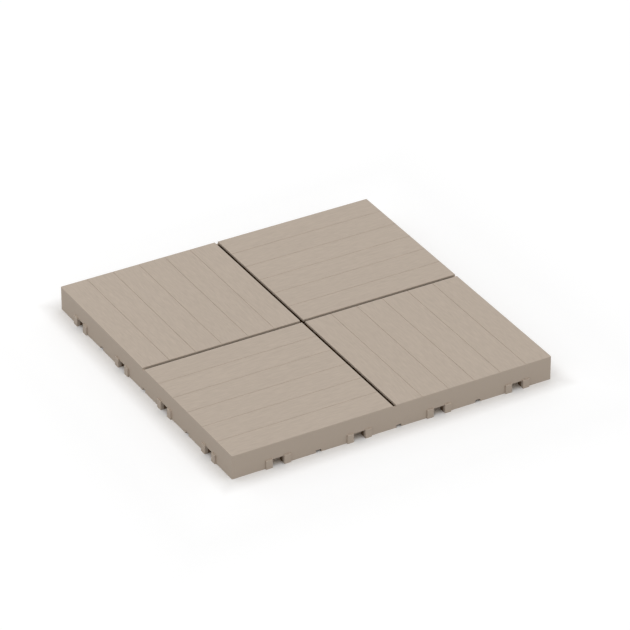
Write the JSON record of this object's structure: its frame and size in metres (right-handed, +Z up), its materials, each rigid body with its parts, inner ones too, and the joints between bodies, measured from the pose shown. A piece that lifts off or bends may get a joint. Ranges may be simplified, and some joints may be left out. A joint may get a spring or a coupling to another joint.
{
  "type": "deck tile",
  "caption": "Square interlocking plastic deck tile with plank-patterned panels, a ribbed underside, and matching sockets and hooks along its sides.",
  "frame": {"origin": "middle of the tile, on the ground it lies on", "axes": "+Z up out of the deck, sockets on the -X and -Y sides, hooks on the +X and +Y sides"},
  "size_m": [0.3088, 0.3088, 0.022],
  "materials": {
    "tile": "matte, finely wood-grained on the deck, plain on the sides and below"
  },
  "bodies": {
    "root": {"deck_tile": "tile"}
  },
  "joints": []
}
